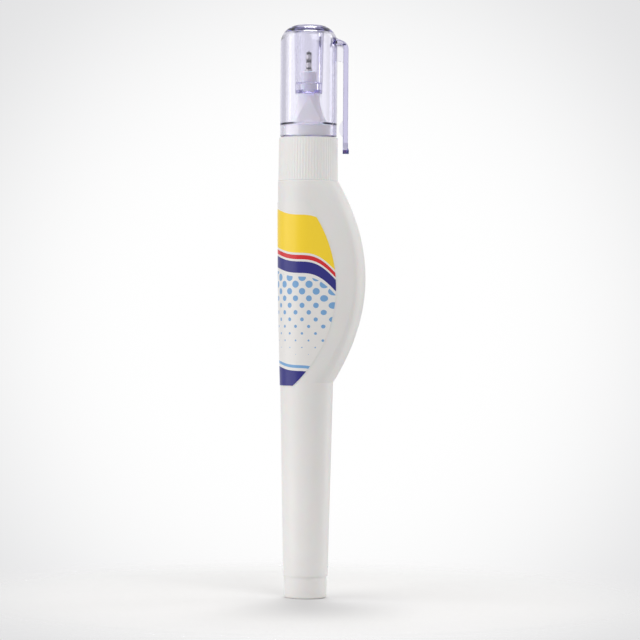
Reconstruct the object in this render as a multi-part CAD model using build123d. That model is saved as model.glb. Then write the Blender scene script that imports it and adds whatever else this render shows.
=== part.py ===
from build123d import *
import os
from math import cos, pi, radians, sin, sqrt, tan

# A squeeze correction pen that stands on its tail with its cap on.
# Millimetres. The pen's axis is Z, up towards the cap. The origin is the centre of the tail's flat foot.
# +X points to the pocket clip and to the squeeze belly. The pen is the same on both sides of the XZ plane.

# Fits between pieces, on the radius
snug_fit = 0.03
slip_fit = 0.08

# Tail plug
plug_radius = 5.2
plug_height = 5.4
plug_edge_round = 0.5
plug_spigot_length = 4.0
plug_core_radius = 2.5
plug_floor = 1.6

# Bottle: tapered barrel, one-sided belly, neck
barrel_length = 47.2
barrel_tail_radius = 5.47
barrel_top_radius = 6.48
belly_length = 49.3
belly_bulge = 7.1
belly_corner_radius = 1.75
belly_side_turn = 15.5
belly_nose_turn = 44.7
shoulder_radius = 7.35
bottle_wall = 1.1
shoulder_wall = 1.2
shoulder_edge_round = 0.3
neck_wall = 1.1
neck_bead_height = 0.25
neck_bead_rise = 4.5

# Mixing ball, loose in the bottle
ball_radius = 3.4
ball_gap = 0.05
ball_stop_overlap = 0.2

# Ribbed collar that clamps the nozzle to the neck
collar_height = 10.5
collar_step = 0.08
collar_draft = 0.11
collar_wall = 1.45
collar_lip = 0.9
rib_count = 64
rib_depth = 0.09

# Cap with its clip and sealing tube
cap_gap = 0.3
cap_height = 27.3
cap_step = 0.2
cap_mouth_wall = 0.87
cap_wall = 1.15
cap_top_wall = 1.6
cap_corner_round = 4.4
cap_inner_round = 1.8
cap_mouth_round = 0.3
cap_lip_round = 0.15
cap_seat_gap = 0.1
cap_step_rise = 0.5
tube_wall = 1.25
tube_draft = 0.32
tube_seal_length = 2.4
tube_relief = 0.5
tube_relief_rise = 0.3
tube_seat_gap = 0.2
tube_tip_round = 0.25
tube_lead_in = 0.45
tube_lead_height = 0.9

# Pocket clip on the cap
clip_gap = 1.45
clip_thickness = 1.25
clip_width = 6.0
clip_top_drop = 3.3
clip_root_height = 1.8
clip_shoulder_fall = 1.3
clip_corner_round = 2.3
clip_inner_round = 0.7
clip_edge_round = 0.3
clip_root_depth = 0.86
clip_arm_length = 26.3
clip_lip = 0.25
clip_lip_length = 1.5
clip_tip_chamfer = 2.5
clip_root_chamfer = 1.4
web_width = 1.2
web_depth = 3.3
web_slope = 0.8
bump_width = 1.8
bump_height = 0.95
bump_length = 3.9
bump_rise = 4.1

# Nozzle
flange_overlap = 0.4
flange_thickness = 1.0
skirt_length = 5.0
spigot_length = 3.0
spigot_ledge = 0.9
spigot_edge = 0.2
trumpet_height = 7.2
trumpet_root_round = 0.4
throat_radius = 2.7
throat_length = 0.4
gusset_reach = 4.6
gusset_width = 6.8
spout_radius = 1.97
spout_length = 5.6
spout_edge_round = 0.25
feed_length = 5.0
funnel_rise = 2.5

# Nib and valve inside the spout
nib_length = 4.8
nib_radius = 0.79
nib_foot_radius = 0.95
nib_foot_height = 0.55
nib_groove = 0.16
nib_bead_pitch = 2.0
nib_bead_length = 1.7
nib_bead_drop = 1.2
nib_stem_radius = 0.85
nib_stem_length = 3.3
nib_tip_land = 0.8
nib_tip_round = 0.15
cone_height = 0.4
needle_rod_radius = 0.4
needle_pin_radius = 0.22
needle_point = 0.4
needle_collar_thickness = 0.6
needle_collar_gap = 0.5
needle_collar_slack = 0.15
needle_tail = 0.5
chamber_radius = 1.25
seat_radius = 1.6
seat_thickness = 1.4
seat_slot_count = 3
seat_slot_width = 0.6
seat_slot_depth = 0.65
spring_radius = 0.9
spring_wire = 0.22
spring_turns = 7
spring_length = 4.7
spring_end_gap = 0.02

# Label film on the front of the belly
label_thickness = 0.12
label_top_drop = 5.3
label_overlap = 0.7
label_top_edge = -0.6
label_middle_edge = 6.7
label_bottom_edge = -3.4
label_middle_drop = 30.4

# Heights, stacked from the foot
barrel_base = plug_height
belly_base = barrel_base + barrel_length
shoulder_top = belly_base + belly_length
collar_top = shoulder_top + collar_height
flange_top = collar_top - collar_lip
neck_top = flange_top - flange_thickness
spigot_top = collar_top + spigot_length
throat_base = spigot_top + trumpet_height
throat_top = throat_base + throat_length
spout_top = throat_top + spout_length
nib_top = spout_top + nib_length
cap_base = collar_top + cap_gap
cap_top = cap_base + cap_height
plug_top = barrel_base + plug_spigot_length

# Radii that follow from the pieces they fit
barrel_bore = barrel_tail_radius - bottle_wall
collar_base_radius = shoulder_radius - collar_step
collar_top_radius = collar_base_radius - collar_draft
neck_radius = collar_top_radius - collar_wall - snug_fit
neck_bore = neck_radius - neck_wall
cap_radius = collar_top_radius - cap_step
cap_mouth_radius = cap_radius - cap_mouth_wall
cap_bore = cap_radius - cap_wall
spigot_radius = cap_mouth_radius - slip_fit
flange_radius = spigot_radius + flange_overlap
trumpet_base_radius = spigot_radius - spigot_ledge
skirt_bore = ball_radius - ball_stop_overlap
nib_bore = needle_rod_radius + slip_fit
orifice_radius = needle_pin_radius + slip_fit

# Valve heights, worked down from the nib
stem_base = spout_top - nib_stem_length
needle_collar_top = stem_base - needle_collar_gap
needle_collar_base = needle_collar_top - needle_collar_thickness
seat_top = needle_collar_base - spring_length
seat_base = seat_top - seat_thickness

# Ball at rest on the rim of the plug's core
ball_rest = plug_top + sqrt(ball_radius**2 - plug_core_radius**2) + ball_gap


def turned(points):
    """Solid of revolution about Z from a closed outline of (radius, height) points."""
    return revolve(Plane.XZ * make_face(Polyline(*points, close=True)), Axis.Z, 360)


def plate(points, width):
    """Flat piece from a closed outline of (x, z) points, centred on the XZ plane."""
    return extrude(Plane.XZ * make_face(Polyline(*points, close=True)), width / 2, both=True)


def rims(solid, height, radius):
    """Circular edges of a solid at one height and one radius."""
    found = []
    for edge in solid.edges().filter_by(GeomType.CIRCLE):
        level = abs(edge.arc_center.Z - height) < 1e-4 and abs(edge.arc_center.X) < 1e-4
        if level and abs(edge.radius - radius) < 1e-4:
            found.append(edge)
    return found


def belly_section(share, grow):
    """Outline of the belly at a share of its height, with its walls moved out by grow.

    The front is a half circle on the axis. On each side a shallow arc leads to a soft corner, and one
    broad nose arc joins the two corners. They all meet in tangents. Where there is no bulge, they lie on
    one circle.
    """
    height = belly_base + share * belly_length
    swell = belly_bulge * 4 * share * (1 - share)
    radius = shoulder_radius - (shoulder_radius - barrel_top_radius) * (1 - share) ** 2 + grow
    middle_radius = shoulder_radius - (shoulder_radius - barrel_top_radius) / 4

    # The corner is tighter than the front by a share of the swell, and the arcs beside it close the outline
    side_end = radians(90 - belly_side_turn)
    nose_end = radians(belly_nose_turn)
    tighter = swell * (middle_radius - belly_corner_radius) / belly_bulge
    lean = tan(nose_end / 2)
    corner_run = cos(nose_end) - cos(side_end) - lean * (sin(side_end) - sin(nose_end))
    flatter = (swell + tighter * corner_run) / (cos(side_end) - lean * (1 - sin(side_end)))
    nose = radius + swell
    corner_x = (flatter + tighter) * cos(side_end)
    corner_y = (flatter + tighter) * sin(side_end) - flatter

    def on_side(turn):
        reach = radius + flatter
        return (reach * cos(turn), reach * sin(turn) - flatter)

    def on_corner(turn):
        reach = radius - tighter
        return (corner_x + reach * cos(turn), corner_y + reach * sin(turn))

    diagonal = radius * sqrt(0.5)
    rounds = [
        [(0, radius), (-diagonal, diagonal), (-radius, 0)],
        [(0, radius), on_side((pi / 2 + side_end) / 2), on_side(side_end)],
        [on_side(side_end), on_corner((side_end + nose_end) / 2), on_corner(nose_end)],
    ]
    arcs = []
    for way in (1, -1):
        for stretch in rounds:
            arcs.append(ThreePointArc(*[(x, way * y, height) for x, y in stretch]))
    nose_x, nose_y = on_corner(nose_end)
    arcs.append(ThreePointArc((nose_x, -nose_y, height), (nose, 0, height), (nose_x, nose_y, height)))
    return Wire(arcs)


def bottle_form(grow, top_share=1.0):
    """Barrel and belly as one closed solid, with the walls moved out by grow."""
    stations = [0, 0.08, 0.2, 0.35, 0.5, 0.65, 0.8, 0.92, 1]
    belly = Solid.make_loft([belly_section(top_share * station, grow) for station in stations])
    barrel = Cone(
        barrel_tail_radius + grow,
        barrel_top_radius + grow,
        barrel_length,
        align=(Align.CENTER, Align.CENTER, Align.MIN),
    )
    return belly + Pos(0, 0, barrel_base) * barrel


def make_tail_plug():
    spigot_radius_here = barrel_bore - snug_fit
    plug = turned(
        [
            (0, 0),
            (plug_radius, 0),
            (plug_radius, plug_height),
            (spigot_radius_here, plug_height),
            (spigot_radius_here, plug_top),
            (plug_core_radius, plug_top),
            (plug_core_radius, plug_floor),
            (0, plug_floor),
        ]
    )
    return fillet(rims(plug, 0, plug_radius), plug_edge_round)


def make_bottle():
    bead_height = shoulder_top + neck_bead_rise
    neck = turned(
        [
            (0, shoulder_top - shoulder_wall),
            (neck_radius, shoulder_top - shoulder_wall),
            (neck_radius, bead_height - neck_bead_height),
            (neck_radius + neck_bead_height, bead_height),
            (neck_radius, bead_height + neck_bead_height),
            (neck_radius, neck_top),
            (0, neck_top),
        ]
    )
    mouth = Pos(0, 0, belly_base + belly_length / 2) * Cylinder(
        neck_bore, neck_top - belly_base, align=(Align.CENTER, Align.CENTER, Align.MIN)
    )
    inside = bottle_form(-bottle_wall, 1 - shoulder_wall / belly_length)
    outside = bottle_form(0)
    shoulder = outside.faces().sort_by(Axis.Z)[-1]
    outside = fillet(shoulder.edges(), shoulder_edge_round)
    return outside + neck - inside - mouth


def make_mixing_ball():
    return Pos(0, 0, ball_rest) * Sphere(ball_radius)


def make_grip_collar():
    corners = []
    for step in range(2 * rib_count):
        reach = collar_base_radius - rib_depth * (step % 2)
        angle = pi * step / rib_count
        corners.append((reach * cos(angle), reach * sin(angle)))
    shrink = collar_top_radius / collar_base_radius
    base = Pos(0, 0, shoulder_top) * make_face(Polyline(*corners, close=True))
    top = Pos(0, 0, collar_top) * scale(make_face(Polyline(*corners, close=True)), shrink)
    ribbed = loft([base, top], ruled=True)
    bore = neck_radius + snug_fit
    bead_height = shoulder_top + neck_bead_rise
    hollow = turned(
        [
            (0, shoulder_top),
            (bore, shoulder_top),
            (bore, bead_height - neck_bead_height),
            (bore + neck_bead_height, bead_height),
            (bore, bead_height + neck_bead_height),
            (bore, neck_top),
            (flange_radius + snug_fit, neck_top),
            (flange_radius + snug_fit, flange_top),
            (spigot_radius + snug_fit, flange_top),
            (spigot_radius + snug_fit, collar_top),
            (0, collar_top),
        ]
    )
    return ribbed - hollow


def make_nozzle():
    skirt_base = neck_top - skirt_length
    feed_base = seat_base - feed_length
    feed_radius = seat_radius + slip_fit
    outline = [
        Polyline(
            (0, skirt_base),
            (neck_bore - snug_fit, skirt_base),
            (neck_bore - snug_fit, neck_top),
            (flange_radius, neck_top),
            (flange_radius, flange_top),
            (spigot_radius, flange_top),
            (spigot_radius, spigot_top - spigot_edge),
            (spigot_radius - spigot_edge, spigot_top),
            (trumpet_base_radius, spigot_top),
        ),
        TangentArc((throat_radius, throat_base), (trumpet_base_radius, spigot_top), tangent=(0, -1)),
        Polyline(
            (throat_radius, throat_base),
            (throat_radius, throat_top),
            (spout_radius, throat_top),
            (spout_radius, spout_top),
            (0, spout_top),
            (0, skirt_base),
        ),
    ]
    body = revolve(Plane.XZ * make_face(outline), Axis.Z, 360)
    body = fillet(rims(body, spigot_top, trumpet_base_radius), trumpet_root_round)
    body = fillet(rims(body, spout_top, spout_radius), spout_edge_round)
    for turn in (0, 180):
        body += Rot(0, 0, turn) * make_gusset()
    hollow = turned(
        [
            (0, skirt_base),
            (skirt_bore, skirt_base),
            (skirt_bore, feed_base - funnel_rise),
            (feed_radius, feed_base),
            (feed_radius, seat_base),
            (seat_radius, seat_base),
            (seat_radius, seat_top),
            (chamber_radius, seat_top),
            (chamber_radius, stem_base),
            (nib_stem_radius, stem_base),
            (nib_stem_radius, spout_top),
            (0, spout_top),
        ]
    )
    return body - hollow


def make_gusset():
    half_width = gusset_width / 2
    side_corners = [
        (0, throat_base),
        (throat_radius, throat_base),
        (gusset_reach, spigot_top),
        (0, spigot_top),
    ]
    front_corners = [(0, throat_base), (half_width, spigot_top), (-half_width, spigot_top)]
    gusset = extrude(Plane.YZ * make_face(Polyline(*side_corners, close=True)), half_width, both=True)
    gusset &= extrude(Plane.XZ * make_face(Polyline(*front_corners, close=True)), 2 * gusset_reach, both=True)
    return gusset & Pos(0, 0, spigot_top) * Cylinder(
        trumpet_base_radius,
        throat_base - spigot_top,
        align=(Align.CENTER, Align.CENTER, Align.MIN),
    )


def make_nib():
    waist = nib_radius - nib_groove
    upper_bead = nib_top - nib_bead_drop
    lower_bead = upper_bead - nib_bead_pitch
    seat_cone_top = nib_top - nib_tip_land
    beads = []
    for middle in (lower_bead, upper_bead):
        beads.append(
            ThreePointArc(
                (waist, middle - nib_bead_length / 2),
                (nib_radius, middle),
                (waist, middle + nib_bead_length / 2),
            )
        )
    outline = [
        Polyline(
            (nib_bore, stem_base),
            (nib_stem_radius - snug_fit, stem_base),
            (nib_stem_radius - snug_fit, spout_top),
            (nib_foot_radius, spout_top),
            (nib_foot_radius, spout_top + nib_foot_height),
            (waist, lower_bead - nib_bead_length / 2),
        ),
        beads[0],
        Line(beads[0] @ 1, beads[1] @ 0),
        beads[1],
        Polyline(
            (waist, upper_bead + nib_bead_length / 2),
            (waist, nib_top),
            (orifice_radius, nib_top),
            (orifice_radius, seat_cone_top),
            (nib_bore, seat_cone_top - cone_height),
            (nib_bore, stem_base),
        ),
    ]
    nib = revolve(Plane.XZ * make_face(outline), Axis.Z, 360)
    return fillet(rims(nib, nib_top, waist), nib_tip_round)


def make_valve_needle():
    cone_top = nib_top - nib_tip_land - slip_fit
    tail_end = seat_base - needle_tail
    collar_radius = chamber_radius - needle_collar_slack
    return turned(
        [
            (0, tail_end),
            (needle_rod_radius, tail_end),
            (needle_rod_radius, needle_collar_base),
            (collar_radius, needle_collar_base),
            (collar_radius, needle_collar_top),
            (needle_rod_radius, needle_collar_top),
            (needle_rod_radius, cone_top - cone_height),
            (needle_pin_radius, cone_top),
            (needle_pin_radius, nib_top + needle_point / 2),
            (needle_pin_radius / 2, nib_top + needle_point),
            (0, nib_top + needle_point),
        ]
    )


def make_spring_seat():
    seat = turned(
        [
            (needle_rod_radius + slip_fit, seat_base),
            (seat_radius - snug_fit, seat_base),
            (seat_radius - snug_fit, seat_top),
            (needle_rod_radius + slip_fit, seat_top),
        ]
    )
    slot = Box(2 * seat_slot_depth, seat_slot_width, 2 * seat_thickness)
    for step in range(seat_slot_count):
        turn = 360 * step / seat_slot_count
        seat -= Rot(0, 0, turn) * Pos(seat_radius, 0, seat_base + seat_thickness / 2) * slot
    return seat


def make_valve_spring():
    """Round wire on a helix, whose centre line is two tangent arcs for each quarter turn."""
    low = seat_top + spring_end_gap + spring_wire / 2
    high = needle_collar_base - spring_end_gap - spring_wire / 2
    quarters = 4 * spring_turns
    climb = (high - low) / (spring_turns * 2 * pi)

    def point(quarter):
        angle = quarter * pi / 2
        return Vector(spring_radius * cos(angle), spring_radius * sin(angle), low + climb * angle)

    def heading(quarter):
        angle = quarter * pi / 2
        return Vector(-spring_radius * sin(angle), spring_radius * cos(angle), climb).normalized()

    arcs = []
    for quarter in range(quarters):
        start, end = point(quarter), point(quarter + 1)
        leave, arrive = heading(quarter), heading(quarter + 1)
        span = end - start
        both = leave + arrive
        square = 4 - both.dot(both)
        lean = span.dot(both)
        reach = (-lean + sqrt(lean**2 + square * span.dot(span))) / square
        first_knee = start + leave * reach
        second_knee = end - arrive * reach
        middle = (first_knee + second_knee) / 2
        arcs.append(Edge.make_tangent_arc(start, leave, middle))
        arcs.append(Edge.make_tangent_arc(middle, second_knee - first_knee, end))
    path = Wire(arcs)
    wire = sweep(Plane(origin=path @ 0, z_dir=path % 0) * Circle(spring_wire / 2), path)
    print_spring_gap(point, quarters)
    return wire


def print_spring_gap(point, quarters):
    """Least gap between the spring's turns, measured on points of its centre line."""
    fine = 6
    dots = [point(step / fine) for step in range(quarters * fine + 1)]
    least = None
    for first in range(len(dots)):
        for second in range(first + 2 * fine, len(dots)):
            distance = (dots[first] - dots[second]).length - spring_wire
            least = distance if least is None else min(least, distance)
    print("least gap of the valve spring to itself", round(least, 3), "mm")


def make_cap():
    ceiling = cap_top - cap_top_wall
    mouth_step = spigot_top + cap_seat_gap
    tube_end = throat_top + tube_seat_gap
    tube_bore = spout_radius + slip_fit
    tube_tip_radius = tube_bore + tube_wall
    shell = turned(
        [
            (0, cap_top),
            (cap_radius, cap_top),
            (cap_radius, cap_base),
            (cap_mouth_radius, cap_base),
            (cap_mouth_radius, mouth_step),
            (cap_bore, mouth_step + cap_step_rise),
            (cap_bore, ceiling),
            (tube_tip_radius + tube_draft, ceiling),
            (tube_tip_radius, tube_end),
            (tube_bore + tube_lead_in, tube_end),
            (tube_bore, tube_end + tube_lead_height),
            (tube_bore, tube_end + tube_seal_length),
            (tube_bore + tube_relief, tube_end + tube_seal_length + tube_relief_rise),
            (tube_bore + tube_relief, ceiling),
            (0, ceiling),
        ]
    )
    shell = fillet(rims(shell, cap_top, cap_radius), cap_corner_round)
    shell = fillet(rims(shell, ceiling, cap_bore), cap_inner_round)
    shell = fillet(rims(shell, cap_base, cap_radius), cap_mouth_round)
    shell = fillet(rims(shell, cap_base, cap_mouth_radius), cap_lip_round)
    shell = fillet(rims(shell, tube_end, tube_tip_radius), tube_tip_round)
    return shell + make_clip()


def make_clip():
    buried = cap_radius - clip_root_depth
    inner = cap_radius + clip_gap
    outer = inner + clip_thickness
    top = cap_top - clip_top_drop
    root_base = top - clip_root_height
    corner = top - clip_shoulder_fall
    tip = root_base - clip_arm_length
    arm = plate(
        [
            (buried, top),
            (cap_radius, top),
            (outer, corner),
            (outer, tip + clip_lip_length),
            (outer + clip_lip, tip + clip_lip_length / 2),
            (outer + clip_lip, tip),
            (inner, tip),
            (inner, root_base),
            (buried, root_base),
        ],
        clip_width,
    )
    rounds = [(outer, corner, clip_corner_round), (inner, root_base, clip_inner_round)]
    for corner_x, corner_z, size in rounds:
        edges = arm.edges().filter_by(Axis.Y).sort_by_distance((corner_x, 0, corner_z))
        arm = fillet(edges[0], size)
    sides = arm.faces().filter_by(Axis.Y)
    arm = fillet(sides.edges(), clip_edge_round)
    half_width = clip_width / 2
    half_tip = half_width - clip_tip_chamfer
    half_root = half_width - clip_root_chamfer
    blade_corners = [
        (-half_root, top),
        (-half_width, top - clip_root_chamfer),
        (-half_width, tip + clip_tip_chamfer),
        (-half_tip, tip),
        (half_tip, tip),
        (half_width, tip + clip_tip_chamfer),
        (half_width, top - clip_root_chamfer),
        (half_root, top),
    ]
    arm &= extrude(Plane.YZ * make_face(Polyline(*blade_corners, close=True)), 2 * outer)
    backing = inner + clip_thickness / 2
    web = plate(
        [
            (buried, root_base),
            (backing, root_base),
            (backing, root_base - web_depth - web_slope),
            (buried, root_base - web_depth),
        ],
        web_width,
    )
    bump_base = tip + bump_rise
    bump_outline = [
        ThreePointArc(
            (inner, bump_base),
            (inner - bump_height, bump_base + bump_length / 2),
            (inner, bump_base + bump_length),
        ),
        Polyline(
            (inner, bump_base + bump_length),
            (backing, bump_base + bump_length),
            (backing, bump_base),
            (inner, bump_base),
        ),
    ]
    bump = extrude(Plane.XZ * make_face(bump_outline), bump_width / 2, both=True)
    return arm + web + bump


def make_label_film():
    top = shoulder_top - label_top_drop
    bottom = belly_base - label_overlap
    front = -2 * shoulder_radius
    edge = ThreePointArc(
        (label_bottom_edge, bottom),
        (label_middle_edge, shoulder_top - label_middle_drop),
        (label_top_edge, top),
    )
    rest = Polyline((label_top_edge, top), (front, top), (front, bottom), (label_bottom_edge, bottom))
    window = extrude(Plane.XZ * make_face([edge, rest]), 2 * shoulder_radius, both=True)
    return (bottle_form(label_thickness) & window) - bottle_form(0)


pieces = {
    "tail_plug": make_tail_plug,
    "bottle": make_bottle,
    "mixing_ball": make_mixing_ball,
    "grip_collar": make_grip_collar,
    "nozzle": make_nozzle,
    "nib": make_nib,
    "valve_needle": make_valve_needle,
    "spring_seat": make_spring_seat,
    "valve_spring": make_valve_spring,
    "cap": make_cap,
    "label_film": make_label_film,
}

os.makedirs("parts", exist_ok=True)
for name, make in pieces.items():
    export_step(make(), f"parts/{name}.step")
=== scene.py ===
from math import pi, radians

import bmesh
import bpy
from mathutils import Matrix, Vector


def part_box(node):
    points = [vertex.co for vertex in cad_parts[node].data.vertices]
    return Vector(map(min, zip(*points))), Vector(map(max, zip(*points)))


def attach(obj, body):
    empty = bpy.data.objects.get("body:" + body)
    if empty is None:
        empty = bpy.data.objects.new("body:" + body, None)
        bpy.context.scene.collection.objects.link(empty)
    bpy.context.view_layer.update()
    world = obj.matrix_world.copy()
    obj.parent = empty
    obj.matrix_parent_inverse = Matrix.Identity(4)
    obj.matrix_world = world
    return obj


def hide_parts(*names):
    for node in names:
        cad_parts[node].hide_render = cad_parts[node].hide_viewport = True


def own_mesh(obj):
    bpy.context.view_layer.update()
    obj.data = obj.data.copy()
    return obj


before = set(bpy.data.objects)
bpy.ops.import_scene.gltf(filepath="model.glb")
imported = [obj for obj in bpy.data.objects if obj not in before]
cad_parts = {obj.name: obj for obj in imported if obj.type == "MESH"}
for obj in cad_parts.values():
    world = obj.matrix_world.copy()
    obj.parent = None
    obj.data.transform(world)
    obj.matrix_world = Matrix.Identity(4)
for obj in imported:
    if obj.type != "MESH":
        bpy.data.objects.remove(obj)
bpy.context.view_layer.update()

# A white squeeze correction pen with a clear lavender cap, standing on its tail.
# Metres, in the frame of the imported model: Z up the pen, +X towards the belly and the clip.

MM = 0.001


def linear(code):
    """Linear colour of an sRGB hex value."""
    channels = [int(code[place:place + 2], 16) / 255 for place in (1, 3, 5)]
    return [c / 12.92 if c <= 0.04045 else ((c + 0.055) / 1.055) ** 2.4 for c in channels] + [1.0]


def add(tree, kind, links=None, **settings):
    """Add a node. Settings name its properties or sockets; links feed sockets from a source or a number."""
    node = tree.nodes.new(kind)
    for name, value in settings.items():
        if hasattr(node, name):
            setattr(node, name, value)
    for name, value in settings.items():
        if not hasattr(node, name):
            node.inputs[name.replace("_", " ")].default_value = value
    for name, source in (links or {}).items():
        if isinstance(source, bpy.types.NodeSocket):
            tree.links.new(source, node.inputs[name])
        else:
            node.inputs[name].default_value = source
    return node


def new_material(name):
    """Empty node material, its node tree and its output node."""
    material = bpy.data.materials.new(name)
    material.use_nodes = True
    material.node_tree.nodes.clear()
    return material, material.node_tree, add(material.node_tree, "ShaderNodeOutputMaterial")


# Materials


def moulded_plastic(name, shade, cloud_shade, roughness):
    """White moulded plastic: satin and a little milky, with faint flow clouds and a fine skin."""
    cloud_size = 9 * MM
    skin_grain = 0.35 * MM
    skin_depth = 0.01 * MM
    gloss_spread = 0.05
    glow_depth = 0.6 * MM
    material, tree, out = new_material(name)
    where = add(tree, "ShaderNodeTexCoord").outputs["Object"]
    clouds = add(tree, "ShaderNodeTexNoise", {"Vector": where}, Scale=1 / cloud_size, Detail=3.0)
    colour = add(
        tree, "ShaderNodeMix", {"Factor": clouds.outputs["Fac"]}, data_type="RGBA",
        A=linear(shade), B=linear(cloud_shade),
    )
    skin = add(tree, "ShaderNodeTexNoise", {"Vector": where}, Scale=1 / skin_grain, Detail=2.0)
    gloss = add(
        tree, "ShaderNodeMapRange", {"Value": clouds.outputs["Fac"]},
        To_Min=roughness - gloss_spread, To_Max=roughness + gloss_spread,
    )
    relief = add(tree, "ShaderNodeBump", {"Height": skin.outputs["Fac"]}, Strength=0.12, Distance=skin_depth)
    surface = add(
        tree, "ShaderNodeBsdfPrincipled",
        {
            "Base Color": colour.outputs["Result"],
            "Roughness": gloss.outputs["Result"],
            "Normal": relief.outputs["Normal"],
        },
        IOR=1.51, Subsurface_Weight=0.2, Subsurface_Scale=glow_depth,
    )
    tree.links.new(surface.outputs["BSDF"], out.inputs["Surface"])
    return material


def turned_nickel_silver(name):
    """Turned nickel silver: bright on its beads, with painted shade darkening the grooves between them."""
    groove_radius = 0.66 * MM
    bead_radius = 0.76 * MM
    grime_size = 0.3 * MM
    material, tree, out = new_material(name)
    where = add(tree, "ShaderNodeTexCoord").outputs["Object"]
    flat = add(tree, "ShaderNodeMapping", {"Vector": where}, Scale=(1.0, 1.0, 0.0))
    reach = add(tree, "ShaderNodeVectorMath", {0: flat.outputs["Vector"]}, operation="LENGTH")
    grime = add(tree, "ShaderNodeTexNoise", {"Vector": where}, Scale=1 / grime_size, Detail=3.0)
    # Painted shade: nearer the axis, in the grooves, the colour is dark, and on the beads it is bright
    height = add(
        tree, "ShaderNodeMapRange", {"Value": reach.outputs["Value"]},
        interpolation_type="SMOOTHSTEP", From_Min=groove_radius, From_Max=bead_radius,
    )
    colour = add(
        tree, "ShaderNodeMix", {"Factor": height.outputs["Result"]}, data_type="RGBA",
        A=linear("#262525"), B=linear("#D6D3CD"),
    )
    gloss = add(tree, "ShaderNodeMapRange", {"Value": grime.outputs["Fac"]}, To_Min=0.06, To_Max=0.14)
    surface = add(
        tree, "ShaderNodeBsdfPrincipled",
        {"Base Color": colour.outputs["Result"], "Roughness": gloss.outputs["Result"]},
        Metallic=1.0,
    )
    tree.links.new(surface.outputs["BSDF"], out.inputs["Surface"])
    return material


def drawn_metal(name, shade, dark_shade, line_pitch, roughness):
    """Bright metal with fine lines round the axis and slightly uneven polish."""
    line_depth = 0.005 * MM
    patch_size = 1.2 * MM

    # A wave texture of scale 1 repeats after this length
    wave_repeat = 0.314
    material, tree, out = new_material(name)
    where = add(tree, "ShaderNodeTexCoord").outputs["Object"]
    lines = add(
        tree, "ShaderNodeTexWave", {"Vector": where}, bands_direction="Z",
        Scale=wave_repeat / line_pitch, Distortion=0.6, Detail=2.0,
    )
    colour = add(
        tree, "ShaderNodeMix", {"Factor": lines.outputs["Fac"]}, data_type="RGBA",
        A=linear(shade), B=linear(dark_shade),
    )
    patches = add(tree, "ShaderNodeTexNoise", {"Vector": where}, Scale=1 / patch_size, Detail=3.0)
    gloss = add(
        tree, "ShaderNodeMapRange", {"Value": patches.outputs["Fac"]},
        To_Min=roughness - 0.05, To_Max=roughness + 0.08,
    )
    relief = add(tree, "ShaderNodeBump", {"Height": lines.outputs["Fac"]}, Strength=0.1, Distance=line_depth)
    surface = add(
        tree, "ShaderNodeBsdfPrincipled",
        {
            "Base Color": colour.outputs["Result"],
            "Roughness": gloss.outputs["Result"],
            "Normal": relief.outputs["Normal"],
        },
        Metallic=1.0,
    )
    tree.links.new(surface.outputs["BSDF"], out.inputs["Surface"])
    return material


def clear_polystyrene(name):
    """Clear polystyrene with a lavender dye: glossy, and deeper in colour where light runs far in it."""
    flow_size = 4 * MM
    flow_depth = 0.05 * MM
    material, tree, out = new_material(name)
    where = add(tree, "ShaderNodeTexCoord").outputs["Object"]
    flow = add(tree, "ShaderNodeTexNoise", {"Vector": where}, Scale=1 / flow_size, Detail=2.0)
    gloss = add(tree, "ShaderNodeMapRange", {"Value": flow.outputs["Fac"]}, To_Min=0.02, To_Max=0.06)
    relief = add(tree, "ShaderNodeBump", {"Height": flow.outputs["Fac"]}, Strength=0.05, Distance=flow_depth)
    surface = add(
        tree, "ShaderNodeBsdfPrincipled",
        {"Roughness": gloss.outputs["Result"], "Normal": relief.outputs["Normal"]},
        Base_Color=linear("#FFFFFF"), IOR=1.59, Transmission_Weight=1.0,
    )
    dye = add(tree, "ShaderNodeVolumeAbsorption", Color=linear("#7A63CC"), Density=100.0)
    tree.links.new(surface.outputs["BSDF"], out.inputs["Surface"])
    tree.links.new(dye.outputs["Volume"], out.inputs["Volume"])
    return material


label_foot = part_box("label_film")[0][2]
label_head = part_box("label_film")[1][2]

# The label's print in millimetres: bands on a wave that falls to the right, over a slanted grid of dots
wave_length = 19.0
wave_height = 1.6
dot_pitch = 1.7
dot_radius = 1.35
dots_from = 5.0
dots_to = 25.5
label_radius = 7.3

# The slope of the falling wave, and where the wave starts in radians
wave_fall = 0.55
wave_start = 0.6

# The inks
film_white = "#ECEAE8"
ink_navy = "#23227E"
ink_sky = "#79A9D8"
ink_red = "#D8232A"
ink_yellow = "#FFDB2E"

# Height of each band's lower edge above the label's foot in millimetres, and its ink
band_inks = [
    (0, ink_navy),
    (2.6, film_white),
    (3.2, ink_sky),
    (4.0, film_white),
    (26.2, ink_navy),
    (29.0, film_white),
    (29.6, ink_red),
    (30.6, film_white),
    (31.2, ink_yellow),
    (40.5, film_white),
]


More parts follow.
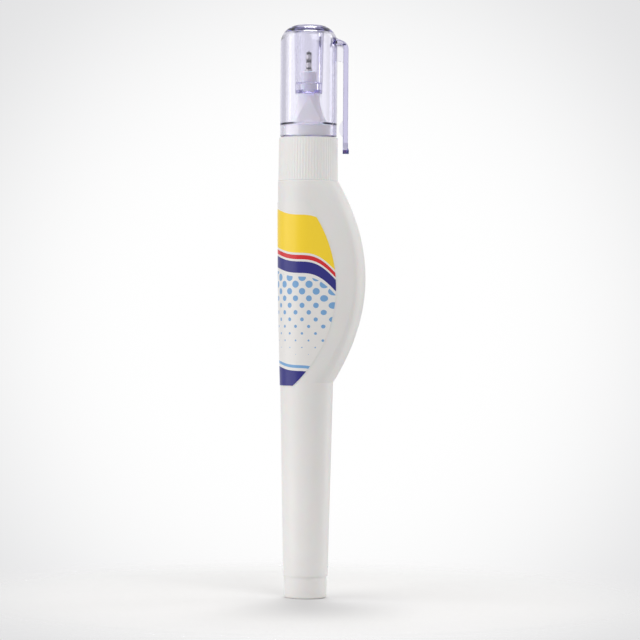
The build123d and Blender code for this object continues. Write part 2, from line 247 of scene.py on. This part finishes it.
def printed_film(name):
    """White polypropylene film with an offset print: bands and dots of ink under a clear gloss."""
    grain_size = 0.5 * MM
    material, tree, out = new_material(name)
    where = add(tree, "ShaderNodeTexCoord").outputs["Object"]
    grain = add(tree, "ShaderNodeTexNoise", {"Vector": where}, Scale=1 / grain_size, Detail=2.0)
    gloss = add(tree, "ShaderNodeMapRange", {"Value": grain.outputs["Fac"]}, To_Min=0.28, To_Max=0.36)
    place = add(tree, "ShaderNodeSeparateXYZ", {"Vector": where})
    x, y, z = (place.outputs[axis] for axis in "XYZ")

    # Height on the label, bent into a falling wave
    swing = add(
        tree, "ShaderNodeMath", {0: x, 1: 2 * pi / (wave_length * MM), 2: wave_start},
        operation="MULTIPLY_ADD",
    )
    sway = add(tree, "ShaderNodeMath", {0: swing.outputs["Value"]}, operation="SINE")
    lean = add(tree, "ShaderNodeMath", {0: x, 1: wave_fall, 2: z}, operation="MULTIPLY_ADD")
    level = add(
        tree, "ShaderNodeMath",
        {0: sway.outputs["Value"], 1: -wave_height * MM, 2: lean.outputs["Value"]},
        operation="MULTIPLY_ADD",
    )

    # Bands of ink that follow the wave
    share = add(
        tree, "ShaderNodeMapRange", {"Value": level.outputs["Value"]},
        From_Min=label_foot, From_Max=label_head,
    )
    bands = add(tree, "ShaderNodeValToRGB", {"Fac": share.outputs["Result"]})
    bands.color_ramp.interpolation = "CONSTANT"
    stops = bands.color_ramp.elements
    stops.remove(stops[1])
    stops[0].color = linear(band_inks[0][1])
    for height, ink in band_inks[1:]:
        stop = stops.new(height * MM / (label_head - label_foot))
        stop.color = linear(ink)

    # Dots on a slanted grid round the barrel that shrink towards the label's foot
    away = add(tree, "ShaderNodeMath", {0: y}, operation="ABSOLUTE")
    front = add(tree, "ShaderNodeMath", {0: x, 1: -1.0}, operation="MULTIPLY")
    turn = add(
        tree, "ShaderNodeMath", {0: away.outputs["Value"], 1: front.outputs["Value"]},
        operation="ARCTAN2",
    )
    across = add(
        tree, "ShaderNodeMath", {0: turn.outputs["Value"], 1: label_radius * MM},
        operation="MULTIPLY",
    )
    steps = []
    for way in ("ADD", "SUBTRACT"):
        slanted = add(tree, "ShaderNodeMath", {0: across.outputs["Value"], 1: z}, operation=way)
        step = add(
            tree, "ShaderNodeMath", {0: slanted.outputs["Value"], 1: dot_pitch * MM},
            operation="PINGPONG",
        )
        steps.append(step.outputs["Value"])
    offset = add(tree, "ShaderNodeCombineXYZ", {"X": steps[0], "Y": steps[1]})
    distance = add(tree, "ShaderNodeVectorMath", {0: offset.outputs["Vector"]}, operation="LENGTH")
    size = add(
        tree, "ShaderNodeMapRange", {"Value": level.outputs["Value"]},
        From_Min=label_foot + dots_from * MM, From_Max=label_foot + dots_to * MM,
        To_Min=0.0, To_Max=dot_radius * MM,
    )
    inside = add(
        tree, "ShaderNodeMath", {0: distance.outputs["Value"], 1: size.outputs["Result"]},
        operation="LESS_THAN",
    )
    below = add(
        tree, "ShaderNodeMath", {0: level.outputs["Value"], 1: label_foot + dots_to * MM},
        operation="LESS_THAN",
    )
    dots = add(
        tree, "ShaderNodeMath", {0: inside.outputs["Value"], 1: below.outputs["Value"]},
        operation="MULTIPLY",
    )
    colour = add(
        tree, "ShaderNodeMix", {"Factor": dots.outputs["Value"], "A": bands.outputs["Color"]},
        data_type="RGBA", B=linear(ink_sky),
    )
    surface = add(
        tree, "ShaderNodeBsdfPrincipled",
        {"Base Color": colour.outputs["Result"], "Roughness": gloss.outputs["Result"]},
        IOR=1.49,
    )
    tree.links.new(surface.outputs["BSDF"], out.inputs["Surface"])
    return material


finishes = {
    # Moulded polyethylene: soft white with a low sheen
    "bottle": moulded_plastic("moulded_polyethylene", "#EEEDEC", "#E9E7E5", 0.43),
    "tail_plug": moulded_plastic("moulded_plug_polyethylene", "#EEEDEC", "#E9E7E5", 0.43),
    # Injection-moulded polypropylene: a cleaner, slightly glossier white
    "grip_collar": moulded_plastic("moulded_polypropylene", "#F1F0EF", "#EDECEB", 0.41),
    "nozzle": moulded_plastic("moulded_nozzle_polypropylene", "#F6F5F9", "#F1F0F5", 0.38),
    # Moulded acetal: a creamy white
    "spring_seat": moulded_plastic("moulded_acetal", "#EAE8E2", "#E2E0DA", 0.38),
    # Turned nickel silver: a warm bright metal with painted shade in its grooves
    "nib": turned_nickel_silver("turned_nickel_silver"),
    # Drawn stainless and spring steel: cool greys with fine lines
    "valve_needle": drawn_metal("drawn_stainless_steel", "#C4C4C6", "#A6A6A9", 0.1 * MM, 0.28),
    "valve_spring": drawn_metal("drawn_spring_steel", "#B5B5B8", "#8F8F93", 0.1 * MM, 0.32),
    # Polished bearing steel: bright and even, with only faint lines
    "mixing_ball": drawn_metal("polished_bearing_steel", "#C8C8CA", "#B4B4B7", 0.4 * MM, 0.15),
    # Dyed clear polystyrene: pale in its walls, violet along its edges
    "cap": clear_polystyrene("clear_lavender_polystyrene"),
    # Printed film: flat clear colours with a soft gloss
    "label_film": printed_film("printed_film"),
}
for node, material in finishes.items():
    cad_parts[node].data.materials.clear()
    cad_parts[node].data.materials.append(material)


# The valve's spring, as a copy that goes with the pen


def pressed_spring():
    """A copy of the wound spring, merged and smooth-shaded, that goes with the pen in place of the imported
    one.
    """
    merge_distance = 0.001 * MM
    shape = bmesh.new()
    shape.from_mesh(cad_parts["valve_spring"].data)
    bmesh.ops.remove_doubles(shape, verts=shape.verts, dist=merge_distance)
    for face in shape.faces:
        face.smooth = True
    mesh = bpy.data.meshes.new("pressed_spring")
    shape.to_mesh(mesh)
    shape.free()
    mesh.materials.append(finishes["valve_spring"])
    spring = bpy.data.objects.new("pressed_spring", mesh)
    bpy.context.collection.objects.link(spring)
    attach(spring, "pen")
    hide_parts("valve_spring")
    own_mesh(spring)


pressed_spring()


# Floor, backdrop and light

# The floor in millimetres: its radius, and where it starts to fade and is gone
floor_radius = 115.0
fade_from = 30.0
fade_to = 110.0

# The painted soft shadow on the floor in millimetres: its middle, and half its width and length
painted_shadow_middle = (4.0, -14.0)
painted_shadow_reach = (29.0, 46.0)

# The white patch behind the pen, small for the camera, and broad in metal and in the clear cap:
# the cosines of the angle from its middle where it starts and where it is full, and the grey round it
camera_patch = (0.9850, 0.9985, "#E4E4E5")
cap_patch = (0.86, 0.995, "#DCDCDE")

# Strength of the even fill from straight below and straight above
fill_below = 0.36
fill_above = 0.54

# How strongly the fill and the lamps light the nozzle through the clear cap
fill_in_cap = 1.25
lamps_in_cap = 0.75


def pale_floor():
    """A round of matt white paper that fades out into the pale surroundings, with a soft shadow painted
    round the foot.
    """
    fibre_size = 2 * MM
    material, tree, out = new_material("matt_paper")
    where = add(tree, "ShaderNodeTexCoord").outputs["Object"]
    fibres = add(tree, "ShaderNodeTexNoise", {"Vector": where}, Scale=1 / fibre_size, Detail=3.0)
    white = add(
        tree, "ShaderNodeMix", {"Factor": fibres.outputs["Fac"]}, data_type="RGBA",
        A=linear("#EEEEEE"), B=linear("#EAEAEA"),
    )

    # Painted shadow: the paper is a little greyer round the foot, in a soft patch a little in front of the
    # pen
    near = add(
        tree, "ShaderNodeMapping", {"Vector": where},
        Location=[-middle / reach for middle, reach in zip(painted_shadow_middle, painted_shadow_reach)] + [0.0],
        Scale=[1 / (reach * MM) for reach in painted_shadow_reach] + [1.0],
    )
    distance = add(tree, "ShaderNodeVectorMath", {0: near.outputs["Vector"]}, operation="LENGTH")
    outside = add(
        tree, "ShaderNodeMapRange", {"Value": distance.outputs["Value"]},
        interpolation_type="SMOOTHSTEP",
    )
    colour = add(
        tree, "ShaderNodeMix", {"Factor": outside.outputs["Result"], "B": white.outputs["Result"]},
        data_type="RGBA", A=linear("#DFDFE0"),
    )
    paper = add(tree, "ShaderNodeBsdfDiffuse", {"Color": colour.outputs["Result"]})
    gone = add(tree, "ShaderNodeBsdfTransparent")
    reach = add(tree, "ShaderNodeVectorMath", {0: where}, operation="LENGTH")
    fade = add(
        tree, "ShaderNodeMapRange", {"Value": reach.outputs["Value"]},
        interpolation_type="SMOOTHSTEP", From_Min=fade_from * MM, From_Max=fade_to * MM,
    )
    both = add(
        tree, "ShaderNodeMixShader",
        {0: fade.outputs["Result"], 1: paper.outputs["BSDF"], 2: gone.outputs["BSDF"]},
    )
    tree.links.new(both.outputs["Shader"], out.inputs["Surface"])
    mesh = bpy.data.meshes.new("floor")
    shape = bmesh.new()
    bmesh.ops.create_circle(shape, cap_ends=True, segments=96, radius=floor_radius * MM)
    shape.to_mesh(mesh)
    shape.free()
    floor = bpy.data.objects.new("floor", mesh)
    mesh.materials.append(material)
    bpy.context.collection.objects.link(floor)


def surroundings():
    """Pale studio: white straight behind the pen, light grey to the sides, and an even fill on the pen."""
    world = bpy.data.worlds.new("studio")
    world.use_nodes = True
    tree = world.node_tree
    tree.nodes.clear()
    bearing = add(tree, "ShaderNodeTexCoord").outputs["Generated"]
    parts = add(tree, "ShaderNodeSeparateXYZ", {"Vector": bearing})
    path = add(tree, "ShaderNodeLightPath")

    # What is seen straight behind the pen
    patches = []
    for start, full, edge in (camera_patch, cap_patch):
        straight = add(
            tree, "ShaderNodeMapRange", {"Value": parts.outputs["Y"]},
            interpolation_type="SMOOTHSTEP", From_Min=start, From_Max=full,
        )
        patch = add(
            tree, "ShaderNodeMix", {"Factor": straight.outputs["Result"]}, data_type="RGBA",
            A=linear(edge), B=linear("#FFFFFF"),
        )
        patches.append(patch.outputs["Result"])
    view = add(
        tree, "ShaderNodeMix",
        {"Factor": path.outputs["Is Camera Ray"], "A": patches[1], "B": patches[0]},
        data_type="RGBA",
    )
    seen = add(tree, "ShaderNodeBackground", {"Color": view.outputs["Result"]}, Strength=1.0)

    # The fill is a little stronger from above, and on what stands inside the clear cap
    from_above = add(
        tree, "ShaderNodeMapRange", {"Value": parts.outputs["Z"]},
        From_Min=-1.0, From_Max=1.0, To_Min=fill_below, To_Max=fill_above,
    )
    through = add(
        tree, "ShaderNodeMapRange", {"Value": path.outputs["Is Transmission Ray"]},
        To_Min=1.0, To_Max=fill_in_cap,
    )
    strength = add(
        tree, "ShaderNodeMath", {0: from_above.outputs["Result"], 1: through.outputs["Result"]},
        operation="MULTIPLY",
    )
    fill = add(
        tree, "ShaderNodeBackground", {"Strength": strength.outputs["Value"]},
        Color=linear("#FFFDFB"),
    )

    # The backdrop shows to the camera, in metal and through the clear cap; matt surfaces get the fill
    shown = path.outputs["Is Camera Ray"]
    for ray in ("Is Glossy Ray", "Is Transmission Ray"):
        either = add(tree, "ShaderNodeMath", {0: shown, 1: path.outputs[ray]}, operation="MAXIMUM")
        shown = either.outputs["Value"]
    no_matt_yet = add(
        tree, "ShaderNodeMath", {0: path.outputs["Diffuse Depth"], 1: 0.5},
        operation="LESS_THAN",
    )
    direct = add(tree, "ShaderNodeMath", {0: shown, 1: no_matt_yet.outputs["Value"]}, operation="MULTIPLY")
    mix = add(
        tree, "ShaderNodeMixShader",
        {0: direct.outputs["Value"], 1: fill.outputs["Background"], 2: seen.outputs["Background"]},
    )
    add(tree, "ShaderNodeOutputWorld", {"Surface": mix.outputs["Shader"]})
    bpy.context.scene.world = world


def soft_light(name, place, aim, width, height, power, into_cap=True):
    """One soft box, turned to an aim. It isn't seen through the clear cap, but may light what is in it."""
    lamp = bpy.data.lights.new(name, "AREA")
    lamp.shape = "RECTANGLE"
    lamp.size = width
    lamp.size_y = height
    lamp.energy = power
    lamp.use_nodes = True
    tree = lamp.node_tree
    tree.nodes.clear()
    path = add(tree, "ShaderNodeLightPath")
    matt = add(
        tree, "ShaderNodeMath", {0: path.outputs["Diffuse Depth"], 1: 0.5},
        operation="GREATER_THAN",
    )
    inside = add(
        tree, "ShaderNodeMath", {0: matt.outputs["Value"], 1: lamps_in_cap},
        operation="MULTIPLY",
    )
    strength = add(
        tree, "ShaderNodeMix",
        {"Factor": path.outputs["Is Transmission Ray"], "A": 1.0, "B": inside.outputs["Value"]},
    )
    glow = add(tree, "ShaderNodeEmission", {"Strength": strength.outputs["Result"]})
    add(tree, "ShaderNodeOutputLight", {"Surface": glow.outputs["Emission"]})
    holder = bpy.data.objects.new(name, lamp)
    holder.location = place
    holder.rotation_euler = (Vector(aim) - Vector(place)).to_track_quat("-Z", "Y").to_euler()
    holder.visible_transmission = into_cap
    bpy.context.collection.objects.link(holder)


pale_floor()
surroundings()
pen_middle = (0.003, 0, 0.07)
below_collar = (0.003, 0, 0.10)
soft_light("left_soft_box", (-0.57, -0.18, 0.22), pen_middle, 0.70, 0.90, 2.45)
soft_light("right_strip_light", (0.46, 0.20, 0.08), pen_middle, 0.15, 0.60, 0.60)
soft_light("front_soft_box", (0.13, -0.24, 0.30), below_collar, 0.20, 0.20, 0.33, into_cap=False)
soft_light("top_soft_box", (0.02, 0.26, 0.75), pen_middle, 0.22, 0.22, 1.75)

# Camera: level with the middle of the pen, with the photograph's slight roll
lens = bpy.data.cameras.new("camera")
lens.sensor_width = 36.0
lens.lens = 147.0
camera = bpy.data.objects.new("camera", lens)
camera.location = (3.16 * MM, -640 * MM, 67.9 * MM)
camera.rotation_euler = (radians(90), radians(-0.41), 0)
bpy.context.collection.objects.link(camera)
bpy.context.scene.camera = camera
bpy.context.scene.view_settings.view_transform = "Standard"

# Light runs a long way inside the clear cap before it comes out, and goes through its walls unblurred
for kind in ("max_bounces", "transmission_bounces", "glossy_bounces"):
    setattr(bpy.context.scene.cycles, kind, 40)
bpy.context.scene.cycles.blur_glossy = 0.0
